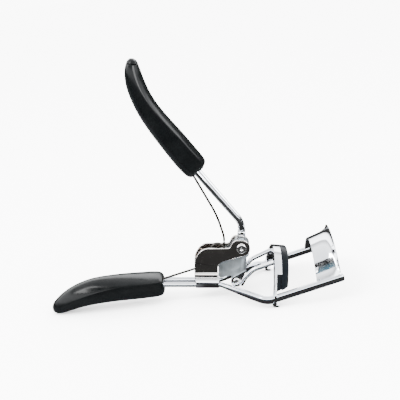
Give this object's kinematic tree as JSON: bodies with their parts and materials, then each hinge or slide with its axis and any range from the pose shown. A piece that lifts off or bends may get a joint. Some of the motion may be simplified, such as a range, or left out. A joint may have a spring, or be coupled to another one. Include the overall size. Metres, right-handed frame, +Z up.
{
  "type": "eyelash curler",
  "caption": "Hand-held eyelash curler: squeezing the black grips swings a lever whose yoke slides a padded arched jaw along guide rails against a fixed arched jaw.",
  "frame": {"origin": "centre of the tool's bounding box, on the plane of the lower grip's tip and the moving jaw's ears", "axes": "+X forwards from the grips to the jaws, +Y to the tool's left, +Z up"},
  "size_m": [0.1076, 0.0382, 0.0904],
  "materials": {
    "chrome_steel": "polished chrome plate on pressed and drawn steel",
    "rivet_steel": "polished rivet steel",
    "black_plastic": "semi-gloss moulded black",
    "pad_rubber": "smooth blue-black silicone rubber",
    "spring_steel": "drawn spring wire"
  },
  "bodies": {
    "frame": {"frame_arm_left": "chrome_steel", "frame_arm_right": "chrome_steel", "lower_grip": "black_plastic", "wire_sleeve": "chrome_steel", "pivot_bracket": "chrome_steel", "pivot_rivet": "rivet_steel", "pivot_washers": "chrome_steel", "upper_jaw": "chrome_steel", "return_spring": "spring_steel"},
    "handle": {"handle_wire_left": "chrome_steel", "handle_wire_right": "chrome_steel", "upper_grip": "black_plastic", "lever": "chrome_steel", "lever_pin": "rivet_steel"},
    "carriage": {"lower_jaw": "chrome_steel", "lash_pad": "pad_rubber", "yoke_arm_left": "chrome_steel", "yoke_arm_right": "chrome_steel", "yoke_rivets": "rivet_steel"}
  },
  "joints": [
    {"name": "handle_hinge", "type": "hinge", "parent": "frame", "child": "handle", "pos_m": [0.01945, 0, 0.01781], "axis": [0, -1, 0], "range_deg": [0, 43], "stiffness_Nm_per_rad": 0.12, "springref_deg": -20.05, "deforming": ["return_spring"]},
    {"name": "yoke_swing", "type": "hinge", "parent": "handle", "child": "carriage", "pos_m": [0.01622, 0, 0.00615], "axis": [0, -1, 0], "range_deg": [-38.19, 0]}
  ],
  "couplings": [
    {"joint": "yoke_swing", "follows": "handle_hinge", "ratio": -0.8836}
  ]
}
